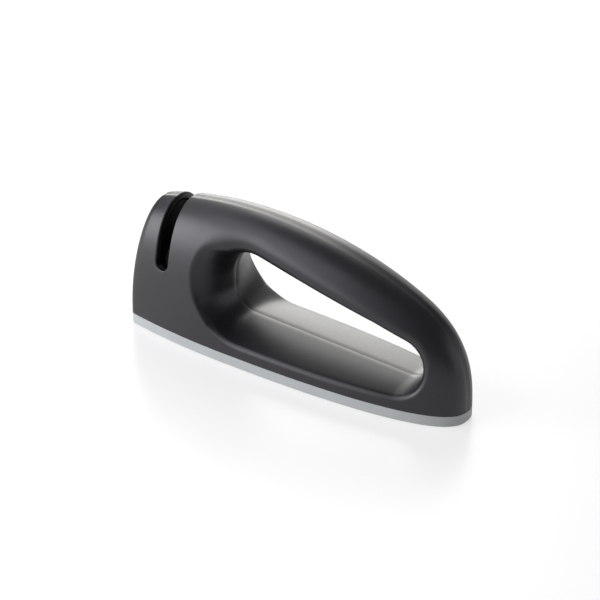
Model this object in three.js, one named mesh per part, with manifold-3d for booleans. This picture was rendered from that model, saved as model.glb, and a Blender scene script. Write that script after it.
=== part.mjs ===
// Knife sharpener with a hand loop.
// Two mirrored half shells meet on the plane Y = 0 and form a D-shaped body: a tall head with a
// cross slot for the blade, a handle bar, and a hand opening between the bar and the base.
// Under the slot two tapered ceramic wheels form a V groove and turn on an axle in a cradle.
// A plate screwed on from below ties the halves together, and a rubber sole covers its screws.

import * as THREE from 'three';
import { mergeVertices } from 'three/addons/utils/BufferGeometryUtils.js';
import Module from 'manifold-3d';

const wasm = await Module();
wasm.setup();

// Driving dimensions in millimetres. X runs from the head to the tail, Y across, Z up.

// Body envelope: boat-shaped plan, arched back, superelliptic sections
const LENGTH = 140;
const WIDTH = 38;
const HEIGHT = 56.4;
const FRONT_WIDTH = 30.2;
const WIDEST_SETBACK = 46.2;
const BACK_PEAK_SETBACK = 52.3;
const BACK_RADIUS = 163;
const NOSE_DEPTH = 8;
const CORNER_DEPTH = 4.9;
const TAIL_DEPTH = 27.3;
const NOSE_POWER = 2.5;
const CORNER_POWER = 5.8;
const TAIL_POWER = 3.6;
const TAIL_PLAN_POWER = 2.5;
const SIDE_POWER_UP = 3.4;
const SIDE_POWER_OUT = 2.1;

// Shell walls and parting line
const WALL = 2.4;
const SEAM_GAP = 0.2;

// Hand opening. Two outlines, each drawn tight round a head circle and a tail circle: the throat
// on the parting plane, and the rim where the roll into the opening starts on the outside.
const RIM_HEAD_SETBACK = 52.75;
const RIM_TAIL_SETBACK = 24.3;
const RIM_FLOOR = 8.35;
const RIM_TAIL_FLOOR = 8;
const RIM_BAR = 1.8;
const RIM_TAIL_BAR = 7.5;
const THROAT_HEAD_SETBACK = 53.15;
const THROAT_TAIL_SETBACK = 25.1;
const THROAT_BAR = 15.1;
const THROAT_TAIL_BAR = 14.1;
const FLOOR_ROLL = 3.45;
const ROLL_POWER = 2.2;
const ROLL_DRAFT = 0.08;
const INNER_ROLL_LIMIT = 6.5;
const LOOP_MARGIN = 2;

// Blade slot and the guide plates that line it
const SLOT_SETBACK = 16.7;
const SLOT_WIDTH = 6;
const SLOT_BOTTOM = 28;
const GUIDE_THICKNESS = 1.6;
const GUIDE_RECESS = 0.3;

// Sole and bottom plate
const SOLE_THICKNESS = 4.2;
const SOLE_CHAMFER = 0.5;
const PLATE_THICKNESS = 1.8;
const PLATE_EDGE = 0.7;

// Sharpening wheels on their axle
const WHEEL_RADIUS = 10;
const WHEEL_THICKNESS = 5.8;
const WHEEL_CHAMFER = 0.8;
const GROOVE_RADIUS = 6;
const GROOVE_HALF_ANGLE = 18;
const GROOVE_ABOVE_SLOT = 2.5;
const AXLE_RADIUS = 1.5;
const AXLE_END = 0.9;
const WASHER_RADIUS = 3.4;
const WASHER_THICKNESS = 0.7;
const CLIP_RADIUS = 2.9;
const CLIP_THICKNESS = 0.6;
const CLIP_GROOVE_DEPTH = 0.4;
const CLIP_MOUTH_ANGLE = 120;

// Cradle
const CRADLE_BASE_THICKNESS = 2.2;
const CRADLE_HALF_WIDTH = 7.4;
const CRADLE_ARM_THICKNESS = 2.4;
const CRADLE_EYE_RADIUS = 4.2;
const CRADLE_FOOT = 2.4;
const CRADLE_BOSS_HEIGHT = 3;

// Screws, their bosses, and the locating pins between the halves
const SCREW_RADIUS = 1.1;
const SCREW_HEAD_RADIUS = 2.1;
const SCREW_HEAD_HEIGHT = 0.9;
const SCREW_LENGTH = 7;
const BOSS_RADIUS = 2.7;
const BOSS_HEIGHT = 9;
const BOSS_RIB = 2;
const PIN_RADIUS = 1.2;
const PIN_REACH = 3;
const PIN_BOSS_RADIUS = 2.3;

// Clearances
const CLEARANCE = 0.3;
const RUNNING_CLEARANCE = 0.1;
const HOLE_CLEARANCE = 0.2;

// Mesh fineness
const ROWS = 10;
const ROW_SPACING = 1.5;
const NOSE_STEPS = 9;
const HEAD_STEPS = 5;
const TAIL_STEPS = 6;
const FLOOR_STEPS = 24;
const BACK_STEPS = 24;
const ROUND_SIDES = 12;
const AXLE_SIDES = 24;
const WHEEL_SIDES = 36;
const WELD = 1e-4;

// Places that follow from the sizes above
const FRONT_X = -LENGTH / 2;
const TAIL_X = LENGTH / 2;
const WIDEST_X = FRONT_X + WIDEST_SETBACK;
const BACK_PEAK_X = FRONT_X + BACK_PEAK_SETBACK;
const SLOT_X = FRONT_X + SLOT_SETBACK;
const BASE_Z = SOLE_THICKNESS;
const PLATE_TOP = BASE_Z + PLATE_THICKNESS;
const AXLE_Z = SLOT_BOTTOM + GROOVE_ABOVE_SLOT - GROOVE_RADIUS;
const AXLE_LIFT = AXLE_Z - PLATE_TOP;
const SCREW_Z = BASE_Z + HOLE_CLEARANCE / 2;
const SCREW_TIP = SCREW_Z + SCREW_LENGTH + HOLE_CLEARANCE;

// Materials
const plastic = (color, roughness) => new THREE.MeshStandardMaterial({ color, roughness, metalness: 0 });
const bodyPlastic = plastic(0x2c2d30, 0.42);
const blackPlastic = plastic(0x131314, 0.55);
const solePlastic = plastic(0xb4b6b9, 0.6);
const ceramic = plastic(0x4a4b4e, 0.7);
const washerPlastic = plastic(0xd8d5cc, 0.5);
const steel = new THREE.MeshStandardMaterial({ color: 0xb9bdc2, roughness: 0.3, metalness: 1 });

// Outer form of the body. An inset of zero gives the outside, and the wall thickness the inside.

// One quarter of a superellipse: 1 at t = 0, falling to 0 at t = 1.
function roundOff(t, power) {
  const inside = Math.min(Math.max(t, 0), 1);
  return (1 - inside ** power) ** (1 / power);
}

// Half width of the plan at x: a slow curve to the front corners, an elliptic sweep to the tail.
function halfWidth(x, inset) {
  const widest = WIDTH / 2 - inset;
  const front = FRONT_X + inset;
  const tail = TAIL_X - inset;
  if (x >= WIDEST_X) {
    return widest * roundOff((x - WIDEST_X) / (tail - WIDEST_X), TAIL_PLAN_POWER);
  }
  const forward = (WIDEST_X - x) / (WIDEST_X - front);
  const side = widest - ((WIDTH - FRONT_WIDTH) / 2) * forward ** 2;
  return side * roundOff((front + CORNER_DEPTH - x) / CORNER_DEPTH, CORNER_POWER);
}

// Station behind the widest place where the plan has a given half width.
function stationOfHalfWidth(width, inset) {
  const share = width / (WIDTH / 2 - inset);
  return WIDEST_X + (TAIL_X - inset - WIDEST_X) * roundOff(share, TAIL_PLAN_POWER);
}

// Height of the back's arc at x, before the nose and the tail are rounded off.
function backHeight(x, inset) {
  return HEIGHT - inset - BACK_RADIUS + Math.sqrt(BACK_RADIUS ** 2 - (x - BACK_PEAK_X) ** 2);
}

// Height of the body on the parting plane at x.
function topHeight(x, inset) {
  const nose = roundOff((FRONT_X + inset + NOSE_DEPTH - x) / NOSE_DEPTH, NOSE_POWER);
  const tail = roundOff((x - TAIL_X + inset + TAIL_DEPTH) / TAIL_DEPTH, TAIL_POWER);
  return backHeight(x, inset) * nose * tail;
}

// Half width of the body at x and z.
function skinHalfWidth(x, z, inset) {
  const share = z / topHeight(x, inset);
  if (!(share < 1)) {
    return 0;
  }
  return halfWidth(x, inset) * (1 - share ** SIDE_POWER_UP) ** (1 / SIDE_POWER_OUT);
}

// Hand opening

// Circle between a floor height and the underside of the bar, at a place along the body.
function openingCircle(x, floor, bar) {
  const radius = (topHeight(x, 0) - bar - floor) / 2;
  return { x, z: floor + radius, radius };
}

const rim = {
  head: openingCircle(FRONT_X + RIM_HEAD_SETBACK, RIM_FLOOR, RIM_BAR),
  tail: openingCircle(TAIL_X - RIM_TAIL_SETBACK, RIM_TAIL_FLOOR, RIM_TAIL_BAR),
};
const throat = {
  head: openingCircle(FRONT_X + THROAT_HEAD_SETBACK, RIM_FLOOR + FLOOR_ROLL, THROAT_BAR),
  tail: openingCircle(TAIL_X - THROAT_TAIL_SETBACK, RIM_TAIL_FLOOR + FLOOR_ROLL, THROAT_TAIL_BAR),
};
const HEAD_LINE = rim.head.x - rim.head.radius - LOOP_MARGIN;
const TAIL_LINE = rim.tail.x + rim.tail.radius + LOOP_MARGIN;

// Nearest point to x, z on the outline round two circles, with the outline's outward normal there
// and the distance out from it, which is negative inside.
function nearestOn({ head, tail }, x, z) {
  const across = tail.x - head.x;
  const up = tail.z - head.z;
  const span = Math.hypot(across, up);
  const alongX = across / span;
  const alongZ = up / span;
  const fromX = x - head.x;
  const fromZ = z - head.z;
  const side = Math.sign(alongX * fromZ - alongZ * fromX) || 1;
  const sine = (head.radius - tail.radius) / span;
  const cosine = Math.sqrt(1 - sine ** 2);
  const normalX = alongX * sine - alongZ * side * cosine;
  const normalZ = alongZ * sine + alongX * side * cosine;
  const tangentX = alongX * cosine + alongZ * side * sine;
  const tangentZ = alongZ * cosine - alongX * side * sine;
  const reach = fromX * tangentX + fromZ * tangentZ;
  if (reach > 0 && reach < span * cosine) {
    const away = fromX * normalX + fromZ * normalZ - head.radius;
    return { x: x - normalX * away, z: z - normalZ * away, nx: normalX, nz: normalZ, away };
  }
  const circle = reach <= 0 ? head : tail;
  const distance = Math.hypot(x - circle.x, z - circle.z);
  const nx = (x - circle.x) / distance;
  const nz = (z - circle.z) / distance;
  const away = distance - circle.radius;
  return { x: x - nx * away, z: z - nz * away, nx, nz, away };
}

// Depth of the roll: the way from a throat point along its normal out to the rim, in shrinking steps.
const DEPTH_PASSES = 24;

function rollDepth(foot) {
  let depth = 0;
  for (let i = 0; i < DEPTH_PASSES; i += 1) {
    depth -= nearestOn(rim, foot.x + foot.nx * depth, foot.z + foot.nz * depth).away;
  }
  return depth;
}

// Half skin as three grids that share their edges: head, loop round the opening, and tail.
const point = (x, y, z) => new THREE.Vector3(x, -Math.max(y, SEAM_GAP / 2), z);

function steps(count, valueAt) {
  return Array.from({ length: count + 1 }, (_, i) => valueAt(i / count));
}

// Point of the section at x, from the base (row 0) up to the parting plane (row 1).
function sectionPoint(x, row, inset) {
  const top = topHeight(x, inset);
  if (top <= BASE_Z) {
    return point(x, 0, BASE_Z);
  }
  const start = Math.asin((BASE_Z / top) ** (SIDE_POWER_UP / 2));
  const angle = start + (Math.PI / 2 - start) * row ** ROW_SPACING;
  const z = row === 1 ? top : top * Math.sin(angle) ** (2 / SIDE_POWER_UP);
  return point(x, row === 1 ? 0 : skinHalfWidth(x, z, inset), z);
}

// Stations along the nose, evenly turned round its curve and ending at the base.
function noseStations(inset) {
  const front = FRONT_X + inset;
  const begin = front + NOSE_DEPTH;
  const straight = steps(HEAD_STEPS, (t) => HEAD_LINE + (begin - HEAD_LINE) * t);
  const last = Math.acos((BASE_Z / backHeight(front, inset)) ** (NOSE_POWER / 2));
  const nose = steps(NOSE_STEPS, (t) => begin - NOSE_DEPTH * Math.sin(last * t) ** (2 / NOSE_POWER));
  return straight.concat(nose.slice(1));
}

// Stations along the tail, evenly turned round its curve and ending at the base.
function tailStations(inset) {
  const tail = TAIL_X - inset;
  const begin = Math.asin(((TAIL_LINE - tail + TAIL_DEPTH) / TAIL_DEPTH) ** (TAIL_POWER / 2));
  const last = Math.acos((BASE_Z / backHeight(tail, inset)) ** (TAIL_POWER / 2));
  const turned = (t) => Math.sin(begin + (last - begin) * t) ** (2 / TAIL_POWER);
  return steps(TAIL_STEPS, (t) => tail - TAIL_DEPTH * (1 - turned(t)));
}

// Columns of section points. The last column is the single point where the seam meets the base.
function endGrid(stations, inset) {
  const lastStation = stations.length - 1;
  const pointAt = (x, column, row) =>
    column === lastStation ? point(x, 0, BASE_Z) : sectionPoint(x, row, inset);
  return stations.map((x, column) => steps(ROWS, (row) => pointAt(x, column, row)));
}

// Rays from the loop's outer edge across the skin, over the rim and in to the parting plane.
function loopGrid(inset, roll) {
  const run = TAIL_LINE - HEAD_LINE;
  const floor = steps(FLOOR_STEPS, (t) => sectionPoint(HEAD_LINE + run * t, 0, inset));
  const tailSide = steps(ROWS, (t) => sectionPoint(TAIL_LINE, t, inset));
  const back = steps(BACK_STEPS, (t) => sectionPoint(TAIL_LINE - run * t, 1, inset));
  const headSide = steps(ROWS, (t) => sectionPoint(HEAD_LINE, 1 - t, inset));
  const edge = [floor, tailSide, back, headSide].flatMap((side) => side.slice(0, -1));
  return edge.map((outer) => loopRay(outer, inset, roll));
}

function loopRay(outer, inset, roll) {
  const foot = nearestOn(throat, outer.x, outer.z);
  const depth = Math.min(rollDepth(foot) - inset, roll.limit);
  const rimX = foot.x + foot.nx * (inset + depth);
  const rimZ = foot.z + foot.nz * (inset + depth);
  const ray = [outer];
  for (let i = 1; i <= roll.skinSteps; i += 1) {
    const t = (i / roll.skinSteps) ** 2;
    const x = outer.x + (rimX - outer.x) * t;
    const z = outer.z + (rimZ - outer.z) * t;
    ray.push(point(x, skinHalfWidth(x, z, inset), z));
  }
  const slope = (ROLL_DRAFT * skinHalfWidth(rimX, rimZ, inset)) / depth;
  for (let i = 1; i <= roll.rimSteps; i += 1) {
    const angle = (Math.PI / 2) * (i / roll.rimSteps);
    const out = i === roll.rimSteps ? 0 : Math.cos(angle) ** (2 / ROLL_POWER);
    const inward = Math.sin(angle) ** (2 / ROLL_POWER);
    const grow = inset + depth * ((1 - slope) * (1 - inward) + slope * out);
    const x = foot.x + foot.nx * grow;
    const z = foot.z + foot.nz * grow;
    ray.push(point(x, out * skinHalfWidth(x, z, inset), z));
  }
  return ray;
}

// Outside of the shell, and inside, where the roll ends sooner so that the bar stays hollow.
const outerRoll = { limit: Infinity, skinSteps: 4, rimSteps: 8 };
const innerRoll = { limit: INNER_ROLL_LIMIT, skinSteps: 3, rimSteps: 3 };

function halfSkin(inset, roll) {
  const head = endGrid(noseStations(inset), inset);
  const tail = endGrid(tailStations(inset), inset);
  const loop = loopGrid(inset, roll);
  return { head, tail, loop };
}

// Edge of a half skin: along the base from the head to the tail, then back over the top.
function skinEdge({ head, tail, loop }) {
  const headBase = head.map((column) => column[0]).reverse();
  const floor = loop.slice(1, FLOOR_STEPS).map((ray) => ray[0]);
  const tailBase = tail.map((column) => column[0]);
  const tailTop = tail.map((column) => column[ROWS]).reverse().slice(1);
  const backStart = FLOOR_STEPS + ROWS;
  const back = loop.slice(backStart + 1, backStart + BACK_STEPS).map((ray) => ray[0]);
  const headTop = head.map((column) => column[ROWS]).slice(0, -1);
  return [...headBase, ...floor, ...tailBase, ...tailTop, ...back, ...headTop];
}

// Mesh building
class Faces {
  constructor() {
    this.corners = [];
  }

  triangle(a, b, c) {
    this.corners.push(a, b, c);
  }

  quad(a, b, c, d) {
    this.triangle(a, b, c);
    this.triangle(a, c, d);
  }

  geometry() {
    return welded(new THREE.BufferGeometry().setFromPoints(this.corners));
  }
}

// Merges shared corners and drops the triangles that close up at a pole.
function welded(source) {
  const bare = new THREE.BufferGeometry();
  bare.setAttribute('position', source.getAttribute('position').clone());
  if (source.index) {
    bare.setIndex(source.index.clone());
  }
  const merged = mergeVertices(bare, WELD);
  const kept = [];
  const index = merged.index.array;
  for (let i = 0; i < index.length; i += 3) {
    const [a, b, c] = [index[i], index[i + 1], index[i + 2]];
    if (a !== b && b !== c && c !== a) {
      kept.push(a, b, c);
    }
  }
  merged.setIndex(kept);
  return merged;
}

function signedVolume(geometry) {
  const position = geometry.getAttribute('position');
  const index = geometry.index.array;
  const corner = (i) => new THREE.Vector3().fromBufferAttribute(position, index[i]);
  let volume = 0;
  for (let i = 0; i < index.length; i += 3) {
    volume += corner(i).dot(corner(i + 1).cross(corner(i + 2))) / 6;
  }
  return volume;
}

// Closed three.js geometry to a solid for cutting and joining, with its faces pointing out.
function solid(source) {
  const geometry = welded(source);
  const index = Uint32Array.from(geometry.index.array);
  if (signedVolume(geometry) < 0) {
    index.reverse();
  }
  const vertProperties = Float32Array.from(geometry.getAttribute('position').array);
  return new wasm.Manifold(new wasm.Mesh({ numProp: 3, vertProperties, triVerts: index }));
}

function geometryOf(body) {
  const mesh = body.getMesh();
  const geometry = new THREE.BufferGeometry();
  geometry.setAttribute('position', new THREE.BufferAttribute(Float32Array.from(mesh.vertProperties), 3));
  geometry.setIndex(new THREE.BufferAttribute(Uint32Array.from(mesh.triVerts), 1));
  geometry.computeVertexNormals();
  return geometry;
}

// Round bar between two heights, along Z.
function uprightRod(radius, x, y, low, high) {
  const rod = new THREE.CylinderGeometry(radius, radius, high - low, ROUND_SIDES);
  rod.rotateX(Math.PI / 2);
  rod.translate(x, y, (low + high) / 2);
  return solid(rod);
}

// Round bar between two values of Y.
function crossRod(radius, x, z, low, high) {
  const rod = new THREE.CylinderGeometry(radius, radius, high - low, ROUND_SIDES);
  rod.translate(x, (low + high) / 2, z);
  return solid(rod);
}

// Closed profile of radius and place along X, turned round X.
function turned(profile, sides) {
  const points = profile.map(([radius, along]) => new THREE.Vector2(radius, along));
  points.push(points[0].clone());
  const lathe = new THREE.LatheGeometry(points, sides);
  lathe.rotateZ(-Math.PI / 2);
  return solid(lathe);
}

// Flat outlines stacked at rising heights and closed at both ends.
function stacked(outlines, heights) {
  const faces = new Faces();
  const ringAt = (outline, z) => outline.map((p) => new THREE.Vector3(p.x, p.y, z));
  const rings = outlines.map((outline, i) => ringAt(outline, heights[i]));
  const last = rings.length - 1;
  for (let i = 0; i < last; i += 1) {
    rings[i].forEach((corner, j) => {
      const next = (j + 1) % rings[i].length;
      faces.quad(corner, rings[i][next], rings[i + 1][next], rings[i + 1][j]);
    });
  }
  for (const [a, b, c] of THREE.ShapeUtils.triangulateShape(outlines[0], [])) {
    faces.triangle(rings[0][c], rings[0][b], rings[0][a]);
  }
  for (const [a, b, c] of THREE.ShapeUtils.triangulateShape(outlines[last], [])) {
    faces.triangle(rings[last][a], rings[last][b], rings[last][c]);
  }
  return solid(faces.geometry());
}

// Shape drawn in Y and Z, given thickness along X from one place to another.
function slabAcross(shape, from, to) {
  const options = { depth: to - from, bevelEnabled: false, curveSegments: ROUND_SIDES };
  const slab = new THREE.ExtrudeGeometry(shape, options);
  slab.applyMatrix4(new THREE.Matrix4().makeBasis(
    new THREE.Vector3(0, 1, 0),
    new THREE.Vector3(0, 0, 1),
    new THREE.Vector3(1, 0, 0),
  ));
  slab.translate(from, 0, 0);
  return solid(slab);
}

// Plan outline of the body at its base.
function planOutline(inset) {
  const middle = steps(FLOOR_STEPS, (t) => HEAD_LINE + (TAIL_LINE - HEAD_LINE) * t);
  const stations = [...noseStations(inset).reverse(), ...middle.slice(1, -1), ...tailStations(inset)];
  const ends = [stations[0], stations[stations.length - 1]];
  const between = stations.slice(1, -1);
  const near = between.map((x) => new THREE.Vector2(x, -skinHalfWidth(x, BASE_Z, inset)));
  const far = between.map((x) => new THREE.Vector2(x, skinHalfWidth(x, BASE_Z, inset))).reverse();
  return [new THREE.Vector2(ends[0], 0), ...near, new THREE.Vector2(ends[1], 0), ...far];
}

// Left half shell, hollow and open along its base
function halfShell() {
  const outer = halfSkin(0, outerRoll);
  const inner = halfSkin(WALL, innerRoll);
  const faces = new Faces();
  skinFaces(outer, (a, b, c, d) => faces.quad(a, b, c, d));
  skinFaces(inner, (a, b, c, d) => faces.quad(d, c, b, a));
  const outerEdge = skinEdge(outer);
  const innerEdge = skinEdge(inner);
  outerEdge.forEach((corner, i) => {
    const next = (i + 1) % outerEdge.length;
    faces.quad(outerEdge[next], corner, innerEdge[i], innerEdge[next]);
  });
  outer.loop.forEach((ray, i) => {
    const next = (i + 1) % outer.loop.length;
    const outerEnd = ray[ray.length - 1];
    const nextOuterEnd = outer.loop[next][ray.length - 1];
    const deep = inner.loop[i].length - 1;
    faces.quad(outerEnd, nextOuterEnd, inner.loop[next][deep], inner.loop[i][deep]);
  });
  return solid(faces.geometry());
}

function skinFaces({ head, tail, loop }, addQuad) {
  for (let column = 0; column + 1 < head.length; column += 1) {
    for (let row = 0; row < ROWS; row += 1) {
      const [near, far] = [head[column], head[column + 1]];
      addQuad(far[row], near[row], near[row + 1], far[row + 1]);
    }
  }
  for (let column = 0; column + 1 < tail.length; column += 1) {
    for (let row = 0; row < ROWS; row += 1) {
      const [near, far] = [tail[column], tail[column + 1]];
      addQuad(near[row], far[row], far[row + 1], near[row + 1]);
    }
  }
  loop.forEach((ray, i) => {
    const next = loop[(i + 1) % loop.length];
    for (let k = 0; k + 1 < ray.length; k += 1) {
      addQuad(ray[k], next[k], next[k + 1], ray[k + 1]);
    }
  });
}

// Slot through the head, round at the bottom and open at the top
function slotCut() {
  const half = SLOT_WIDTH / 2;
  const shape = new THREE.Shape();
  shape.moveTo(-half, HEIGHT);
  shape.lineTo(-half, SLOT_BOTTOM + half);
  shape.absarc(0, SLOT_BOTTOM + half, half, Math.PI, 2 * Math.PI, false);
  shape.lineTo(half, HEIGHT);
  shape.closePath();
  const options = { depth: WIDTH, bevelEnabled: false, curveSegments: ROUND_SIDES };
  const cut = new THREE.ExtrudeGeometry(shape, options);
  cut.rotateX(Math.PI / 2);
  cut.translate(SLOT_X, WIDTH / 2, 0);
  return solid(cut);
}

// Places of the plate screws on the left half: beside the guides, behind the head, in the tail.
const GUIDE_FACE = SLOT_WIDTH / 2 + GUIDE_RECESS;
const FRONT_GUIDE_X = SLOT_X - GUIDE_FACE - GUIDE_THICKNESS;
const REAR_GUIDE_X = SLOT_X + GUIDE_FACE;
const BOSS_ROOM = BOSS_RADIUS + 2 * CLEARANCE;
const SCREW_FROM_WALL = CLEARANCE + PLATE_EDGE + HOLE_CLEARANCE + SCREW_HEAD_RADIUS;
const bossStations = [
  FRONT_GUIDE_X - BOSS_ROOM,
  HEAD_LINE + BOSS_RADIUS,
  stationOfHalfWidth(SCREW_FROM_WALL + 2 * BOSS_RADIUS, WALL),
];
const bossPlaces = bossStations.map((x) => ({ x, y: skinHalfWidth(x, BASE_Z, WALL) - SCREW_FROM_WALL }));

// Places of the pins that locate the halves: in the head, along the bar and in the tail.
function barMiddle(x) {
  const top = topHeight(x, WALL);
  const foot = nearestOn(throat, x, top);
  return { x, z: (top + foot.z + foot.nz * WALL) / 2 };
}
const pinPlaces = [
  barMiddle(throat.head.x),
  barMiddle((throat.head.x + throat.tail.x) / 2),
  { x: (throat.tail.x + throat.tail.radius + TAIL_X - WALL) / 2, z: throat.tail.z },
];

// Screw bosses, each tied to the side wall by a rib and drilled for its screw.
function withBosses(shell, side) {
  const low = PLATE_TOP + CLEARANCE;
  const high = low + BOSS_HEIGHT;
  let result = shell;
  for (const { x, y } of bossPlaces) {
    const boss = uprightRod(BOSS_RADIUS, x, side * y, low, high);
    const reach = skinHalfWidth(x, high, WALL / 2) - y;
    const rib = new THREE.BoxGeometry(BOSS_RIB, reach, BOSS_HEIGHT);
    rib.translate(x, side * (y + reach / 2), (low + high) / 2);
    const drill = uprightRod(SCREW_RADIUS + HOLE_CLEARANCE, x, side * y, BASE_Z, SCREW_TIP);
    result = result.add(boss).add(solid(rib)).subtract(drill);
  }
  return result;
}

// Half width at which a pin's boss ends inside the wall all round.
function pinBossReach({ x, z }) {
  const edges = [-PIN_BOSS_RADIUS, PIN_BOSS_RADIUS];
  const corners = edges.flatMap((dx) => edges.map((dz) => ({ x: x + dx, z: z + dz })));
  return Math.min(...corners.map((corner) => skinHalfWidth(corner.x, corner.z, WALL / 2)));
}

// Pins stand on the left half and enter sockets in the right half.
function withPins(shell) {
  let result = shell;
  for (const at of pinPlaces) {
    const reach = pinBossReach(at);
    const boss = crossRod(PIN_BOSS_RADIUS, at.x, at.z, -reach, -SEAM_GAP / 2);
    const pin = crossRod(PIN_RADIUS, at.x, at.z, -reach, PIN_REACH);
    result = result.add(boss).add(pin);
  }
  return result;
}

function withSockets(shell) {
  let result = shell;
  const bore = PIN_RADIUS + HOLE_CLEARANCE;
  const depth = PIN_REACH + 2 * CLEARANCE;
  for (const at of pinPlaces) {
    const boss = crossRod(PIN_BOSS_RADIUS, at.x, at.z, SEAM_GAP / 2, pinBossReach(at));
    const socket = crossRod(bore, at.x, at.z, -SEAM_GAP, depth);
    result = result.add(boss).subtract(socket);
  }
  return result;
}

function mirrored(body) {
  const geometry = geometryOf(body);
  geometry.scale(1, -1, 1);
  return solid(geometry);
}

// Sole: flush with the body all round, its lower edge chamfered
function soleBody() {
  const outlines = [planOutline(SOLE_CHAMFER), planOutline(0), planOutline(0)];
  return stacked(outlines, [0, SOLE_CHAMFER, SOLE_THICKNESS]);
}

// Screw places through the plate: the shells' bosses on both sides, and the cradle's two.
const CRADLE_SCREW_Y = CRADLE_HALF_WIDTH - BOSS_RADIUS;
const plateScrewPlaces = bossPlaces.flatMap(({ x, y }) => [{ x, y: -y }, { x, y }]);
const cradleScrewPlaces = [-CRADLE_SCREW_Y, CRADLE_SCREW_Y].map((y) => ({ x: SLOT_X, y }));

// Bottom plate, standing on Z = 0: fills the shells' open base, with a recess for each screw head
function plateBody() {
  const outline = planOutline(WALL + CLEARANCE);
  const recessRadius = SCREW_HEAD_RADIUS + HOLE_CLEARANCE;
  const recessTop = SCREW_HEAD_HEIGHT + HOLE_CLEARANCE;
  let plate = stacked([outline, outline], [0, PLATE_THICKNESS]);
  for (const { x, y } of [...plateScrewPlaces, ...cradleScrewPlaces]) {
    const recess = uprightRod(recessRadius, x, y, -PLATE_THICKNESS, recessTop);
    const hole = uprightRod(SCREW_RADIUS + HOLE_CLEARANCE, x, y, 0, 2 * PLATE_THICKNESS);
    plate = plate.subtract(recess).subtract(hole);
  }
  return plate;
}

// Screw, standing on its head at the origin
function screwBody() {
  const head = uprightRod(SCREW_HEAD_RADIUS, 0, 0, 0, SCREW_HEAD_HEIGHT);
  return head.add(uprightRod(SCREW_RADIUS, 0, 0, 0, SCREW_LENGTH));
}

// Stack along the axle, outwards from the slot's middle plane at X = 0
const WHEEL_INNER = RUNNING_CLEARANCE;
const WHEEL_OUTER = WHEEL_INNER + WHEEL_THICKNESS;
const WASHER_INNER = WHEEL_OUTER + RUNNING_CLEARANCE;
const WASHER_OUTER = WASHER_INNER + WASHER_THICKNESS;
const ARM_INNER = WASHER_OUTER + HOLE_CLEARANCE;
const ARM_OUTER = ARM_INNER + CRADLE_ARM_THICKNESS;
const CLIP_INNER = ARM_OUTER + HOLE_CLEARANCE;
const CLIP_OUTER = CLIP_INNER + CLIP_THICKNESS;
const AXLE_HALF = CLIP_OUTER + HOLE_CLEARANCE + AXLE_END;

// Wheel: bored for the axle, with a conical flank towards the slot's middle plane
function wheelBody() {
  const bore = AXLE_RADIUS + RUNNING_CLEARANCE;
  const flank = (WHEEL_RADIUS - GROOVE_RADIUS) * Math.tan(THREE.MathUtils.degToRad(GROOVE_HALF_ANGLE));
  return turned([
    [bore, WHEEL_INNER],
    [GROOVE_RADIUS, WHEEL_INNER],
    [WHEEL_RADIUS, WHEEL_INNER + flank],
    [WHEEL_RADIUS, WHEEL_OUTER - WHEEL_CHAMFER],
    [WHEEL_RADIUS - WHEEL_CHAMFER, WHEEL_OUTER],
    [bore, WHEEL_OUTER],
  ], WHEEL_SIDES);
}

function ringBody(inner, outer, from, to) {
  return turned([[inner, from], [outer, from], [outer, to], [inner, to]], AXLE_SIDES);
}

// Axle: a plain pin with a groove near each end for its clip
function axleBody() {
  const groove = AXLE_RADIUS - CLIP_GROOVE_DEPTH;
  const grooveFrom = CLIP_INNER - HOLE_CLEARANCE / 2;
  const grooveTo = CLIP_OUTER + HOLE_CLEARANCE / 2;
  const half = [
    [AXLE_RADIUS, grooveFrom],
    [groove, grooveFrom],
    [groove, grooveTo],
    [AXLE_RADIUS, grooveTo],
    [AXLE_RADIUS, AXLE_HALF],
    [0, AXLE_HALF],
  ];
  const other = half.map(([radius, along]) => [radius, -along]).reverse();
  return turned([...other, ...half], AXLE_SIDES);
}

// Clip: a spring ring seated in the axle's groove, with a mouth at its lower side
function clipBody() {
  const inner = AXLE_RADIUS - CLIP_GROOVE_DEPTH + RUNNING_CLEARANCE;
  const ring = ringBody(inner, CLIP_RADIUS, CLIP_INNER, CLIP_OUTER);
  const mouth = 2 * inner * Math.sin(THREE.MathUtils.degToRad(CLIP_MOUTH_ANGLE / 2));
  const cut = new THREE.BoxGeometry(2 * CLIP_THICKNESS, mouth, 2 * CLIP_RADIUS);
  cut.translate((CLIP_INNER + CLIP_OUTER) / 2, 0, -CLIP_RADIUS);
  return ring.subtract(solid(cut));
}

// Cradle, standing on Z = 0: a base with two arms, each ending in an eye for the axle
function cradleBody() {
  const baseHalf = ARM_OUTER + CRADLE_FOOT;
  const base = new THREE.BoxGeometry(2 * baseHalf, 2 * CRADLE_HALF_WIDTH, CRADLE_BASE_THICKNESS);
  base.translate(0, 0, CRADLE_BASE_THICKNESS / 2);
  const arm = armShape();
  let cradle = solid(base);
  cradle = cradle.add(slabAcross(arm, ARM_INNER, ARM_OUTER)).add(slabAcross(arm, -ARM_OUTER, -ARM_INNER));
  cradle = cradle.add(gussetBody(1)).add(gussetBody(-1)).subtract(axleBore());
  for (const { y } of cradleScrewPlaces) {
    const boss = uprightRod(BOSS_RADIUS, 0, y, 0, CRADLE_BASE_THICKNESS + CRADLE_BOSS_HEIGHT);
    const drill = uprightRod(SCREW_RADIUS + HOLE_CLEARANCE, 0, y, -CLEARANCE, SCREW_TIP - PLATE_TOP);
    cradle = cradle.add(boss).subtract(drill);
  }
  return cradle;
}

function axleBore() {
  const radius = AXLE_RADIUS + RUNNING_CLEARANCE;
  const rod = new THREE.CylinderGeometry(radius, radius, 2 * AXLE_HALF, AXLE_SIDES);
  rod.rotateZ(Math.PI / 2);
  rod.translate(0, 0, AXLE_LIFT);
  return solid(rod);
}

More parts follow.
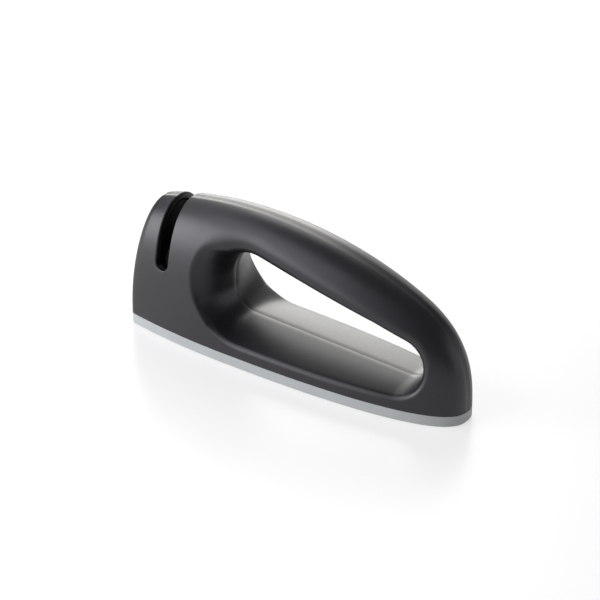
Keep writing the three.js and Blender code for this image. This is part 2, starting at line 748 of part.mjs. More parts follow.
function armShape() {
  const shape = new THREE.Shape();
  shape.moveTo(-CRADLE_HALF_WIDTH, 0);
  shape.lineTo(CRADLE_HALF_WIDTH, 0);
  shape.lineTo(CRADLE_EYE_RADIUS, AXLE_LIFT);
  shape.absarc(0, AXLE_LIFT, CRADLE_EYE_RADIUS, 0, Math.PI, false);
  shape.closePath();
  return shape;
}

// Gusset: a triangular rib from the foot of the base up the outer face of an arm
function gussetBody(side) {
  const thickness = CRADLE_ARM_THICKNESS / 2;
  const footX = side * (ARM_OUTER + CRADLE_FOOT);
  const armX = side * (ARM_OUTER - thickness);
  const shape = new THREE.Shape();
  shape.moveTo(armX, CRADLE_BASE_THICKNESS - thickness);
  shape.lineTo(footX, CRADLE_BASE_THICKNESS - thickness);
  shape.lineTo(footX, CRADLE_BASE_THICKNESS);
  shape.lineTo(armX, AXLE_LIFT - 2 * CRADLE_EYE_RADIUS);
  shape.closePath();
  const rib = new THREE.ExtrudeGeometry(shape, { depth: 2 * thickness, bevelEnabled: false });
  rib.rotateX(Math.PI / 2);
  rib.translate(0, thickness, 0);
  return solid(rib);
}

// Guide plate at a station: fills the hollow of the head beside the slot and arches over the wheels
function guideBody(station) {
  const inset = WALL + CLEARANCE;
  const low = PLATE_TOP + CLEARANCE;
  const faces = [station, station + GUIDE_THICKNESS];
  const high = Math.min(...faces.map((x) => topHeight(x, inset)));
  const heights = steps(2 * ROWS, (t) => low + (high - low) * Math.sin((t * Math.PI) / 2)).slice(0, -1);
  const halfWidthAt = (z) => Math.min(...faces.map((x) => skinHalfWidth(x, z, inset)));
  const side = heights.map((z) => new THREE.Vector2(halfWidthAt(z), z));
  const notch = WHEEL_RADIUS + 2 * CLEARANCE;
  const shape = new THREE.Shape();
  shape.moveTo(notch, low);
  side.forEach((p) => shape.lineTo(p.x, p.y));
  shape.lineTo(0, high);
  side.reverse().forEach((p) => shape.lineTo(-p.x, p.y));
  shape.lineTo(-notch, low);
  shape.lineTo(-notch, AXLE_Z);
  shape.absarc(0, AXLE_Z, notch, Math.PI, 0, true);
  shape.closePath();
  return slabAcross(shape, 0, GUIDE_THICKNESS);
}

// Assembly. The wheels, washers and clips are made for the rear side of the slot and turned half
// round for the front side.
function place(parent, name, geometry, material) {
  const mesh = new THREE.Mesh(geometry, material.clone());
  mesh.name = name;
  parent.add(mesh);
  return mesh;
}

const sharpener = new THREE.Group();

const shell = halfShell().subtract(slotCut());
place(sharpener, 'left_shell', geometryOf(withPins(withBosses(shell, -1))), bodyPlastic);
place(sharpener, 'right_shell', geometryOf(withSockets(withBosses(mirrored(shell), 1))), bodyPlastic);
place(sharpener, 'sole', geometryOf(soleBody()), solePlastic);
place(sharpener, 'bottom_plate', geometryOf(plateBody()), blackPlastic).position.z = BASE_Z;
for (const [name, x] of [['front_guide', FRONT_GUIDE_X], ['rear_guide', REAR_GUIDE_X]]) {
  place(sharpener, name, geometryOf(guideBody(x)), blackPlastic).position.x = x;
}

const unit = new THREE.Group();
unit.position.set(SLOT_X, 0, PLATE_TOP);
sharpener.add(unit);
place(unit, 'roller_cradle', geometryOf(cradleBody()), blackPlastic);

const roller = new THREE.Group();
roller.position.z = AXLE_LIFT;
unit.add(roller);
place(roller, 'axle', geometryOf(axleBody()), steel);
const washerBore = AXLE_RADIUS + RUNNING_CLEARANCE;
const wheel = geometryOf(wheelBody());
const washer = geometryOf(ringBody(washerBore, WASHER_RADIUS, WASHER_INNER, WASHER_OUTER));
const clip = geometryOf(clipBody());
for (const [end, turn] of [['front', Math.PI], ['rear', 0]]) {
  place(roller, `${end}_wheel`, wheel, ceramic).rotation.z = turn;
  place(roller, `${end}_washer`, washer, washerPlastic).rotation.z = turn;
  place(roller, `${end}_clip`, clip, steel).rotation.z = turn;
}

const screw = geometryOf(screwBody());
plateScrewPlaces.forEach(({ x, y }, i) => {
  place(sharpener, `plate_screw_${i + 1}`, screw, steel).position.set(x, y, SCREW_Z);
});
cradleScrewPlaces.forEach(({ x, y }, i) => {
  place(sharpener, `cradle_screw_${i + 1}`, screw, steel).position.set(x, y, SCREW_Z);
});

export default sharpener;
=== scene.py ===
import itertools
import math

import bmesh
import bpy
import numpy as np
from mathutils import Matrix, Vector


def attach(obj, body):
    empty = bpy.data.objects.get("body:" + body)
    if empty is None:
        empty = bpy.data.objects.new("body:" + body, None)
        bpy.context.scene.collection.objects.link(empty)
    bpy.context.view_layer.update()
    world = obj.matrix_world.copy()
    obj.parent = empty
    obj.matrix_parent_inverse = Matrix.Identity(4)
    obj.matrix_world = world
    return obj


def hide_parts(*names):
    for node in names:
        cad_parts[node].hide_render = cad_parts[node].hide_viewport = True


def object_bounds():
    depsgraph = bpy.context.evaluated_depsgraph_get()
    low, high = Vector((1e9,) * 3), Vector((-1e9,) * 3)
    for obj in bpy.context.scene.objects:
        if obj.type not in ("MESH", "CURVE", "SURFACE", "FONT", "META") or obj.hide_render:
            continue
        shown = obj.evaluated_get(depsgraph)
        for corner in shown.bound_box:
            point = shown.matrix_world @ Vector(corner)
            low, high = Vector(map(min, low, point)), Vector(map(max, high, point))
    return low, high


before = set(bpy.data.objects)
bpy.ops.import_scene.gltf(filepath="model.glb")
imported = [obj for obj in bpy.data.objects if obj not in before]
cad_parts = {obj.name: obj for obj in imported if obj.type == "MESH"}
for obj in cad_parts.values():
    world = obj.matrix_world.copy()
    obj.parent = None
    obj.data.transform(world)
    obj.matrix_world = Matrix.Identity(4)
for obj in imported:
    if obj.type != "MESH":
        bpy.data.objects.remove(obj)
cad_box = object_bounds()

# Camera: a long lens above the near side, turned towards the tail so that the head stands left.
# It looks down on the sharpener from the photograph's angle, with the picture's own framing.
VIEW_AZIMUTH = math.radians(35.3)
VIEW_ELEVATION = math.radians(30.6)
VIEW_DISTANCE = 0.9548
VIEW_AIM = Vector((-0.00976, 0.01032, 0.01742))
LENS = 156.0
SENSOR = 36.0

back = Vector((
    math.sin(VIEW_AZIMUTH) * math.cos(VIEW_ELEVATION),
    -math.cos(VIEW_AZIMUTH) * math.cos(VIEW_ELEVATION),
    math.sin(VIEW_ELEVATION),
))
right = Vector((math.cos(VIEW_AZIMUTH), math.sin(VIEW_AZIMUTH), 0.0))
lens = bpy.data.cameras.new("photo_camera")
lens.lens = LENS
lens.sensor_width = SENSOR
camera = bpy.data.objects.new("photo_camera", lens)
turned = Matrix((right, back.cross(right), back)).transposed().to_4x4()
camera.matrix_world = Matrix.Translation(VIEW_AIM + back * VIEW_DISTANCE) @ turned
bpy.context.scene.collection.objects.link(camera)
bpy.context.scene.camera = camera
bpy.context.scene.view_settings.view_transform = "Standard"

# Light: soft boxes in a ring round the table, in a dim grey room. Cool ones on the left light the
# head, slightly warm ones behind draw the bright band along the back and the floor of the opening,
# and a weak one fills from the right.
LAMP_DISTANCE = 1.0
LAMP_HEIGHT = 0.52
ROOM_GREY = 0.2
COOL = (0.98, 0.99, 1.03)
WARM = (1.0, 0.995, 0.965)
LOW = 15.0
HIGH = 45.0


def soft_box(name, azimuth, elevation, width, radiance, tint):
    """Rectangular lamp that faces the object's middle, from an azimuth (0 is the near side) and an
    elevation, in degrees. Its power is pi times its area times its radiance."""
    turn = math.radians(azimuth)
    rise = math.radians(elevation)
    away = Vector((
        math.sin(turn) * math.cos(rise), -math.cos(turn) * math.cos(rise), math.sin(rise),
    ))
    lamp = bpy.data.lights.new(name, "AREA")
    lamp.shape = "RECTANGLE"
    lamp.size = width
    lamp.size_y = LAMP_HEIGHT
    lamp.energy = math.pi * width * LAMP_HEIGHT * radiance
    lamp.color = tint
    box = bpy.data.objects.new(name, lamp)
    box.location = away * LAMP_DISTANCE
    box.rotation_euler = away.to_track_quat("Z", "Y").to_euler()
    bpy.context.scene.collection.objects.link(box)


soft_box("left_low_box", -55.0, LOW, 0.50, 7.2, COOL)
soft_box("front_low_box", -25.0, LOW, 0.50, 3.2, COOL)
soft_box("front_high_box", -40.0, HIGH, 0.76, 2.4, COOL)
soft_box("left_high_box", -100.0, HIGH, 0.76, 1.2, COOL)
soft_box("back_low_box", -145.0, LOW, 0.50, 5.4, WARM)
soft_box("back_high_box", -145.0, HIGH, 0.38, 4.8, WARM)
soft_box("far_low_box", -175.0, LOW, 0.50, 0.8, WARM)
soft_box("right_low_box", 110.0, LOW, 1.00, 0.95, COOL)
world = bpy.data.worlds.new("studio")
bpy.context.scene.world = world
world.use_nodes = True
room = world.node_tree.nodes["Background"]
room.inputs["Color"].default_value = (1.0, 1.0, 1.0, 1.0)
room.inputs["Strength"].default_value = ROOM_GREY

# Table: a white sheet with a faint gloss that keeps the object's soft shadow and reflection. Part
# of what is seen of it is plain white, so that it burns out to paper white round the object.
TABLE_HALF = 3.0
TABLE_DROP = 0.0002
TABLE_WHITE_SHARE = 0.65


def seen_share(tree, share):
    """The share for rays from the camera and for rays mirrored or passed on by the object, and 0
    for others."""
    path = tree.nodes.new("ShaderNodeLightPath")
    seen = path.outputs["Is Camera Ray"]
    for name in ("Is Glossy Ray", "Is Transmission Ray"):
        either = tree.nodes.new("ShaderNodeMath")
        either.operation = "MAXIMUM"
        tree.links.new(seen, either.inputs[0])
        tree.links.new(path.outputs[name], either.inputs[1])
        seen = either.outputs["Value"]
    scaled = tree.nodes.new("ShaderNodeMath")
    scaled.operation = "MULTIPLY"
    scaled.inputs[1].default_value = share
    tree.links.new(seen, scaled.inputs[0])
    return scaled.outputs["Value"]


table = bpy.data.meshes.new("table")
corners = [(-1, -1), (1, -1), (1, 1), (-1, 1)]
places = [(x * TABLE_HALF, y * TABLE_HALF, -TABLE_DROP) for x, y in corners]
table.from_pydata(places, [], [(0, 1, 2, 3)])
floor = bpy.data.objects.new("table", table)
bpy.context.scene.collection.objects.link(floor)
sheet = bpy.data.materials.new("white_table")
sheet.use_nodes = True
tree = sheet.node_tree
paper = tree.nodes["Principled BSDF"]
paper.inputs["Base Color"].default_value = (0.95, 0.95, 0.95, 1.0)
paper.inputs["Roughness"].default_value = 0.25
paper.inputs["Specular IOR Level"].default_value = 0.5
white = tree.nodes.new("ShaderNodeEmission")
white.inputs["Color"].default_value = (1.0, 1.0, 1.0, 1.0)
white.inputs["Strength"].default_value = 1.0
blend = tree.nodes.new("ShaderNodeMixShader")
tree.links.new(seen_share(tree, TABLE_WHITE_SHARE), blend.inputs["Fac"])
tree.links.new(paper.outputs["BSDF"], blend.inputs[1])
tree.links.new(white.outputs["Emission"], blend.inputs[2])
tree.links.new(blend.outputs["Shader"], tree.nodes["Material Output"].inputs["Surface"])
table.materials.append(sheet)

# Half shells: two mirrored mouldings of satin charcoal plastic that meet on the middle plane.
# Each is one thin skin: arched back, boat-shaped plan, cross slot in the head, and a rounded rim
# into the crowned hand opening. Screws from below hold them together. Millimetres from here on.
MM = 0.001
TINY = 1e-9
LENGTH = (cad_box[1][0] - cad_box[0][0]) / MM
WIDTH = (cad_box[1][1] - cad_box[0][1]) / MM
HEIGHT = (cad_box[1][2] - cad_box[0][2]) / MM
FRONT_X = -LENGTH / 2
TAIL_X = LENGTH / 2
BASE_Z = 4.2
FRONT_WIDTH = 30.2
WIDEST_X = FRONT_X + 46.2
BACK_PEAK_X = FRONT_X + 52.3
BACK_RADIUS = 163.0
NOSE_DEPTH = 8.0
NOSE_POWER = 2.5
CORNER_DEPTH = 4.9
CORNER_POWER = 5.8
TAIL_DEPTH = 27.3
TAIL_POWER = 3.6
TAIL_PLAN_POWER = 2.5
SIDE_POWER_UP = 3.4
SIDE_POWER_OUT = 2.1
WALL = 2.4
SEAM_HALF_GAP = 0.02
SEAM_LIP = 1.6
THROAT_SEAM_DIP = 0.1
BACK_SEAM_DIP = 0.035
BASE_ROUND = 0.2
ROLL_POWER = 2.2
RIM_RADIUS = 2.3
ROLL_DRAFT = 0.08
INNER_ROLL_LIMIT = 6.5
SLOT_X = FRONT_X + 16.7
SLOT_HALF = 3.0
SLOT_SHOULDER = 31.0
SLOT_ROUND = 0.5
HEAD_LINE = -43.0
TAIL_LINE = 61.5
NEAR_TO_FAR = np.array([1.0, -1.0, 1.0])


def round_off(t, power):
    """A quarter of a superellipse: 1 at t = 0, falling to 0 at t = 1."""
    return (1 - np.clip(t, 0, 1) ** power) ** (1 / power)


def half_width(x, inset):
    """Plan: a slow parabola to the squared front corners, a superelliptic sweep to the tail."""
    widest = WIDTH / 2 - inset
    front = FRONT_X + inset
    tail = TAIL_X - inset
    swept = widest * round_off((x - WIDEST_X) / (tail - WIDEST_X), TAIL_PLAN_POWER)
    forward = (WIDEST_X - x) / (WIDEST_X - front)
    side = widest - (WIDTH - FRONT_WIDTH) / 2 * forward ** 2
    cornered = side * round_off((front + CORNER_DEPTH - x) / CORNER_DEPTH, CORNER_POWER)
    return np.where(x >= WIDEST_X, swept, cornered)


def back_height(x, inset):
    """Circular arc of the back: its peak's height less the drop of a circle of its radius."""
    return HEIGHT - inset - BACK_RADIUS + np.sqrt(BACK_RADIUS ** 2 - (x - BACK_PEAK_X) ** 2)


def top_height(x, inset):
    """Back arc rounded off at the nose and at the tail."""
    nose = round_off((FRONT_X + inset + NOSE_DEPTH - x) / NOSE_DEPTH, NOSE_POWER)
    tail = round_off((x - TAIL_X + inset + TAIL_DEPTH) / TAIL_DEPTH, TAIL_POWER)
    return back_height(x, inset) * nose * tail


def skin(x, z, inset):
    """Half width at x and z: the plan's width times a superelliptic arch over the height."""
    share = np.clip(z / np.maximum(top_height(x, inset), TINY), 0, 1)
    return half_width(x, inset) * (1 - share ** SIDE_POWER_UP) ** (1 / SIDE_POWER_OUT)


def on_skin(x, z, inset):
    """Points of the near side's skin at x and z: y is minus the half width there."""
    x, z = np.broadcast_arrays(x, z)
    return np.stack([x, -skin(x, z, inset), z], -1)


def seam_turn(width, seam):
    """Turn round the arch at which its half width has fallen to seam."""
    return np.arccos(np.clip(seam / np.maximum(width, seam), 0, 1) ** (SIDE_POWER_OUT / 2))


def arch(x, low, rows, inset, seam):
    """Columns of points from height low up to the seam's edge, evenly turned round the arch."""
    top = np.maximum(top_height(x, inset), low)[:, None]
    start = np.arcsin(np.clip(low[:, None] / top, 0, 1) ** (SIDE_POWER_UP / 2))
    end = np.maximum(seam_turn(half_width(x, inset), seam)[:, None], start)
    angle = start + (end - start) * rows[None, :]
    return on_skin(x[:, None], top * np.sin(angle) ** (2 / SIDE_POWER_UP), inset)


SIDE_ROWS = 18
ARCH_ROWS = 44


def wall_and_arch(x, shoulder, base, inset, seam):
    """Columns of points: evenly up the side to the shoulder height, then round the arch."""
    z = base + (shoulder - base)[:, None] * np.linspace(0, 1, SIDE_ROWS + 1)[None, :-1]
    rows = np.linspace(0, 1, ARCH_ROWS + 1)
    return np.concatenate([on_skin(x[:, None], z, inset), arch(x, shoulder, rows, inset, seam)], 1)


def opening_circle(x, floor_height, bar):
    """Circle at x from a floor height up to the underside of a bar of that thickness, as x, z and
    radius."""
    radius = (top_height(x, 0.0) - bar - floor_height) / 2
    return np.array([x, floor_height + radius, radius])


# The hand opening, as outlines drawn tight round circles: its rim on the side of the body, and its
# throat on the middle plane, with a tighter lower corner at the head and a bend near the tail.
RIM = (opening_circle(-16.4, 7.3, 1.8), opening_circle(45.7, 7.0, 7.5))
THROAT_CORNER = np.array([-21.6, 22.6, 9.3])
THROAT = (
    THROAT_CORNER, opening_circle(-17.0, 13.4, 15.4), opening_circle(34.0, 13.0, 16.8),
    opening_circle(45.9, 11.2, 15.6),
)


def nearest_on_pair(head, tail, place):
    """Foot of each place on the outline drawn tight round two circles, the outline's normal there,
    and the way between them."""
    along = tail[:2] - head[:2]
    span = np.linalg.norm(along)
    along = along / span
    out = place - head[:2]
    side = np.where(along[0] * out[:, 1] - along[1] * out[:, 0] < 0, -1.0, 1.0)
    across = side[:, None] * np.array([-along[1], along[0]])
    sine = (head[2] - tail[2]) / span
    cosine = math.sqrt(1 - sine ** 2)
    flat_normal = along * sine + across * cosine
    reach = (out * (along * cosine - across * sine)).sum(-1)
    circle = np.where(reach[:, None] <= 0, head, tail)
    spoke = place - circle[:, :2]
    distance = np.linalg.norm(spoke, axis=-1)
    on_flat = (reach > 0) & (reach < span * cosine)
    normal = np.where(on_flat[:, None], flat_normal, spoke / distance[:, None])
    away = np.where(on_flat, (out * flat_normal).sum(-1) - head[2], distance - circle[:, 2])
    return place - normal * away[:, None], normal, away


def nearest_on(circles, place):
    """Foot and normal on the outline drawn tight round several circles: the nearest foot on any
    pair."""
    pairs = itertools.combinations(circles, 2)
    feet, normals, ways = zip(*(nearest_on_pair(*pair, place) for pair in pairs))
    pick = np.argmin(ways, 0), np.arange(len(place))
    return np.array(feet)[pick], np.array(normals)[pick]


RIM_TANGENTS = 720
LEAST_AHEAD = 0.05


def roll_depth(foot, normal):
    """Way from a throat point along its normal to the rim: the nearest of the rim's tangent lines
    ahead."""
    turn = np.linspace(0, 2 * np.pi, RIM_TANGENTS, endpoint=False)
    facing = np.stack([np.cos(turn), np.sin(turn)], -1)
    support = np.maximum(*(facing @ circle[:2] + circle[2] for circle in RIM))
    toward = normal @ facing.T
    ahead = toward > LEAST_AHEAD
    reach = (support - foot @ facing.T) / np.where(ahead, toward, 1.0)
    return np.where(ahead, reach, np.inf).min(1)


RIM_STEPS = 14
WALL_STEPS = 14
ROLL_STEPS = RIM_STEPS + WALL_STEPS
LEAN_ROUNDS = 30


def steps(count):
    """Even steps from 0 to 1 as one row, without the 0."""
    return np.linspace(0, 1, count + 1)[None, 1:]


def superelliptic_roll(depth, full, end):
    """Shares of the half width and ways out from the throat, from rim to seam: a quarter of a
    superellipse on a slight draft."""
    angle = np.arccos(end ** (ROLL_POWER / 2)) * steps(ROLL_STEPS)
    share = np.cos(angle) ** (2 / ROLL_POWER)
    inward = np.sin(angle) ** (2 / ROLL_POWER)
    draft = ROLL_DRAFT * full
    return share, (depth - draft) * (1 - inward) + draft * share


def rounded_rim(depth, full, end):
    """The same from a rim of one radius that runs tangent into a parabolic wall: the wall's slope
    where the two meet is twice its mean slope less the draft at the seam."""
    slope = np.zeros(depth.shape)
    for _ in range(LEAN_ROUNDS):
        lean = np.arctan(slope)
        rise = depth - RIM_RADIUS * np.cos(lean)
        slope = 2 * rise / (full - RIM_RADIUS * (1 - np.sin(lean))) - ROLL_DRAFT
    turn = np.pi / 2 + (np.arctan(slope) - np.pi / 2) * steps(RIM_STEPS)
    arc = full - RIM_RADIUS * (1 - np.sin(turn))
    meet = arc[:, -1:]
    wall = meet + (end * full - meet) * steps(WALL_STEPS)
    share = np.concatenate([arc, wall], 1) / full
    wall_way = ROLL_DRAFT * wall + (slope - ROLL_DRAFT) / (2 * meet) * wall ** 2
    return share, np.concatenate([depth - RIM_RADIUS * np.cos(turn), wall_way], 1)


SKIN_STEPS = 14
RIM_FROM = 0.5


def loop_rays(outer, inset, limit, seam):
    """From the loop's outer edge across the skin to the rim, then down the wall of the opening to
    the throat: a rounded rim at the head and the floor, blended by a smooth step of the throat's
    normal into a soft roll under the bar and at the tail. The hidden inner skin keeps the plain
    roll."""
    foot, normal = nearest_on(THROAT, outer[:, [0, 2]])
    depth = np.minimum(roll_depth(foot, normal) - inset, limit)[:, None]
    rim_place = foot + normal * (inset + depth)
    t = steps(SKIN_STEPS) ** 2
    flat = outer[:, None, [0, 2]] + (rim_place - outer[:, [0, 2]])[:, None] * t[..., None]
    side = on_skin(flat[..., 0], flat[..., 1], inset)
    full = skin(rim_place[:, 0], rim_place[:, 1], inset)[:, None]
    end = (seam / skin(foot[:, 0], foot[:, 1], inset))[:, None]
    share, grow = superelliptic_roll(depth, full, end)
    if inset == 0:
        rim_share, rim_grow = rounded_rim(depth, full, end)
        facing = np.maximum(-normal[:, :1], -normal[:, 1:])
        part = np.clip((facing - RIM_FROM) / (1 - RIM_FROM), 0, 1)
        part = part * part * (3 - 2 * part)
        share = share + (rim_share - share) * part
        grow = grow + (rim_grow - grow) * part
    rolled = foot[:, None] + normal[:, None] * (inset + grow)[..., None]
    width = share * skin(rolled[..., 0], rolled[..., 1], inset)
    roll = np.stack([rolled[..., 0], -width, rolled[..., 1]], -1)
    return np.concatenate([outer[:, None], side, roll], 1), normal


NOSE_FLAT_COLUMNS = 9
NOSE_COLUMNS = 40
REAR_COLUMNS = 16
TAIL_COLUMNS = 30
TAIL_ROWS = 44
TAIL_ROW_POWER = 1.4
FLOOR_RAYS = 110
BACK_RAYS = 120
SLOT_STEPS = 28
SLOT_TURN = np.linspace(0, np.pi, SLOT_STEPS + 1)


def nose_block(inset, slot_low, base, seam):
    """Skin from the slot's front edge round the nose, evenly turned, down to a pole on the base."""
    front = FRONT_X + inset
    nose_start = front + NOSE_DEPTH
    flat = np.linspace(slot_low, nose_start, NOSE_FLAT_COLUMNS + 1)[:-1]
    last = np.arccos((base / back_height(front, inset)) ** (NOSE_POWER / 2))
    bend = nose_start - NOSE_DEPTH * np.sin(np.linspace(0, last, NOSE_COLUMNS)) ** (2 / NOSE_POWER)
    x = np.concatenate([flat, bend])
    reach = np.clip((top_height(x, inset) - base) / (top_height(slot_low, inset) - base), 0, 1)
    block = wall_and_arch(x, base + (SLOT_SHOULDER - base) * reach, base, inset, seam)
    block[-1] = (x[-1], 0, base)
    return block


def under_slot_block(inset, slot_half, base):
    """Skin below the slot, from the base up to the half circle that ends the slot."""
    top = SLOT_SHOULDER - slot_half * np.sin(SLOT_TURN)
    z = base + (top - base)[:, None] * np.linspace(0, 1, SIDE_ROWS + 1)
    return on_skin((SLOT_X - slot_half * np.cos(SLOT_TURN))[:, None], z, inset)


def tail_block(inset, base, seam):
    """Skin from the loop's last column round the tail, evenly turned, to a pole on the base."""
    tail = TAIL_X - inset
    first = np.arcsin(((TAIL_LINE - tail + TAIL_DEPTH) / TAIL_DEPTH) ** (TAIL_POWER / 2))
    last = np.arccos((base / back_height(tail, inset)) ** (TAIL_POWER / 2))
    x = tail - TAIL_DEPTH * (1 - np.sin(np.linspace(first, last, TAIL_COLUMNS)) ** (2 / TAIL_POWER))
    rows = np.linspace(0, 1, TAIL_ROWS + 1) ** TAIL_ROW_POWER
    block = arch(x, np.full(x.shape, base), rows, inset, seam)
    block[-1] = (x[-1], 0, base)
    return block


def back_edge(inset, seam):
    """Edge of the back beside the seam, from the tail to the head."""
    x = np.linspace(TAIL_LINE, HEAD_LINE, BACK_RAYS + 1)
    z = top_height(x, inset) * np.sin(seam_turn(half_width(x, inset), seam)) ** (2 / SIDE_POWER_UP)
    return np.stack([x, np.full(x.shape, -seam), z], -1)


def half_skin(inset, slot_half, base, seam, limit):
    """One half of the skin as grids that share their edges, with y no nearer the middle than seam,
    and the throat's normals."""
    rear_x = np.linspace(HEAD_LINE, SLOT_X + slot_half, REAR_COLUMNS)
    rear = wall_and_arch(rear_x, np.full(rear_x.shape, SLOT_SHOULDER), base, inset, seam)
    tail = tail_block(inset, base, seam)
    floor_edge = on_skin(np.linspace(HEAD_LINE, TAIL_LINE, FLOOR_RAYS + 1), base, inset)
    edges = (floor_edge, tail[0], back_edge(inset, seam), rear[0][::-1])
    loop, normal = loop_rays(np.concatenate([edge[:-1] for edge in edges]), inset, limit, seam)
    blocks = {
        "front": nose_block(inset, SLOT_X - slot_half, base, seam),
        "rear": rear,
        "under": under_slot_block(inset, slot_half, base),
        "tail": tail,
        "loop": np.concatenate([loop, loop[:1]]),
    }
    for grid in blocks.values():
        grid[..., 1] = np.minimum(grid[..., 1], -seam)
    return blocks, np.concatenate([normal, normal[:1]])


def unit(vectors):
    """Vectors scaled to length 1."""
    return vectors / np.maximum(np.linalg.norm(vectors, axis=-1, keepdims=True), TINY)


def grid_normals(grid):
    """Outward unit normals of a near-side grid: the cross product of its two directions, turned so
    that it points more to -Y and +Z than away from them."""
    normal = unit(np.cross(np.gradient(grid, axis=0), np.gradient(grid, axis=1)))
    return normal * np.where(normal[..., 1:2] > normal[..., 2:3], -1, 1)


LIP_POINTS = 7


def rolled_edge(edge, normal, fall, reach, dip):
    """Quarter of an ellipse from an edge: it sets off along fall and turns into the surface."""
    angle = np.linspace(0, np.pi / 2, LIP_POINTS)[None, :, None]
    sunk = normal[:, None] * dip * (1 - np.cos(angle))
    return edge[:, None] + fall[:, None] * reach * np.sin(angle) - sunk


def seam_lip(edge, normal, dip):
    """Parabola from an edge towards the parting plane: it sinks into the surface by the square of
    its way."""
    t = np.linspace(0, 1, LIP_POINTS)[None, :, None]
    fall = np.array([0.0, 1.0, 0.0])
    return edge[:, None] + fall * SEAM_LIP * t - normal[:, None] * dip * t ** 2


def bridge(first, second):
    """Strip between two lines of points of the same length."""
    return np.stack([first, second], 1)


def lip_corner(row, other, inner):
    """Patch where two lips start from one corner, the sum of both, and fans from its far sides to
    the inner corner."""
    patch = row[:, None] + other[None, :] - row[:1, None]
    fan = np.broadcast_to(inner, (len(row), 3))
    return [patch, bridge(patch[-1], fan), bridge(patch[:, -1], fan)]


def slot_line(skins):
    """Edge of the slot: down its front side, round its end and up its rear side."""
    return np.concatenate([
        skins["front"][0][SIDE_ROWS:][::-1], skins["under"][1:-1, -1],
        skins["rear"][-1][SIDE_ROWS:],
    ])


def base_line(skins):
    """Edge of the base from the nose to the tail."""
    return np.concatenate([
        skins["front"][::-1, 0], skins["under"][1:-1, 0], skins["rear"][::-1, 0],
        skins["loop"][1:FLOOR_RAYS, 0], skins["tail"][:, 0],
    ])


def back_line(skins):
    """Edge beside the seam, up the tail and along the back to the slot."""
    start = FLOOR_RAYS + TAIL_ROWS
    return np.concatenate([
        skins["tail"][::-1, -1], skins["loop"][start + 1:start + BACK_RAYS, 0],
        skins["rear"][:, -1],
    ])


def outwards(line):
    """Unit normals of a line beside the seam: its direction in x and z after a quarter turn."""
    run = np.gradient(line, axis=0)
    return unit(np.stack([run[:, 2], np.zeros(len(run)), -run[:, 0]], -1))


def shell_grids():
    """Outer skin, its rolled edges at the slot, the base and the seam, the inner skin, and the
    strips that close the wall between them."""
    seam = SEAM_HALF_GAP + SEAM_LIP
    outer, normal = half_skin(0.0, SLOT_HALF + SLOT_ROUND, BASE_Z + BASE_ROUND, seam, np.inf)
    inner, _ = half_skin(WALL, SLOT_HALF, BASE_Z, SEAM_HALF_GAP, INNER_ROLL_LIMIT)
    grids = list(outer.values()) + list(inner.values())

    slot_edge = slot_line(outer)
    slot_normal = slot_line({key: grid_normals(outer[key]) for key in ("front", "under", "rear")})
    turn = SLOT_TURN[1:-1]
    sides = np.tile([1.0, 0.0, 0.0], (ARCH_ROWS + 1, 1))
    round_end = np.stack([np.cos(turn), np.zeros(turn.shape), np.sin(turn)], -1)
    slot_fall = np.concatenate([sides, round_end, -sides])
    slot_lip = rolled_edge(slot_edge, slot_normal, slot_fall, SLOT_ROUND, SLOT_ROUND)

    base_edge = base_line(outer)
    run = np.gradient(base_edge, axis=0)
    base_normal = unit(np.stack([run[:, 1], -run[:, 0], np.zeros(len(run))], -1))
    downwards = np.tile([0.0, 0.0, -1.0], (len(base_edge), 1))
    base_lip = rolled_edge(base_edge, base_normal, downwards, BASE_ROUND, BASE_ROUND)

    front_seam = outer["front"][:, -1]
    front_lip = seam_lip(front_seam, outwards(front_seam), BACK_SEAM_DIP)
    back_seam = back_line(outer)
    back_lip = seam_lip(back_seam, outwards(back_seam), BACK_SEAM_DIP)
    throat = outer["loop"][:, -1]
    into = -np.stack([normal[:, 0], np.zeros(len(throat)), normal[:, 1]], -1)
    throat_lip = seam_lip(throat, into, THROAT_SEAM_DIP)

    for lip, inside in (
        (slot_lip, slot_line(inner)), (base_lip, base_line(inner)),
        (front_lip, inner["front"][:, -1]), (back_lip, back_line(inner)),
        (throat_lip, inner["loop"][:, -1]),
    ):
        grids += [lip, bridge(lip[:, -1], inside)]
    grids += lip_corner(slot_lip[0], front_lip[0], inner["front"][0, -1])
    grids += lip_corner(slot_lip[-1], back_lip[-1], inner["rear"][-1, -1])
    grids += lip_corner(base_lip[0], front_lip[-1], inner["front"][-1, 0])
    grids += lip_corner(base_lip[-1], back_lip[0], inner["tail"][-1, 0])
    return grids


MERGE_DISTANCE = 2e-6


def put_mesh(name, grids, sharp_angle):
    """Joins grids of points in millimetres into one mesh in metres, merges their shared edges,
    drops what closes up at a pole and turns the faces outwards."""
    points = np.concatenate([grid.reshape(-1, 3) for grid in grids]) * MM
    faces = []
    offset = 0
    for grid in grids:
        index = np.arange(grid.shape[0] * grid.shape[1]).reshape(grid.shape[:2]) + offset
        quads = np.stack([index[:-1, :-1], index[1:, :-1], index[1:, 1:], index[:-1, 1:]], -1)
        faces.append(quads.reshape(-1, 4))
        offset += index.size
    mesh = bpy.data.meshes.new(name)
    mesh.from_pydata(points.tolist(), [], np.concatenate(faces).tolist())
    work = bmesh.new()
    work.from_mesh(mesh)
    bmesh.ops.remove_doubles(work, verts=work.verts, dist=MERGE_DISTANCE)
    bmesh.ops.recalc_face_normals(work, faces=work.faces)
    work.to_mesh(mesh)
    work.free()
    mesh.polygons.foreach_set("use_smooth", np.ones(len(mesh.polygons), dtype=bool))
    mesh.set_sharp_from_angle(angle=math.radians(sharp_angle))
    piece = bpy.data.objects.new(name, mesh)
    bpy.context.scene.collection.objects.link(piece)
    return piece


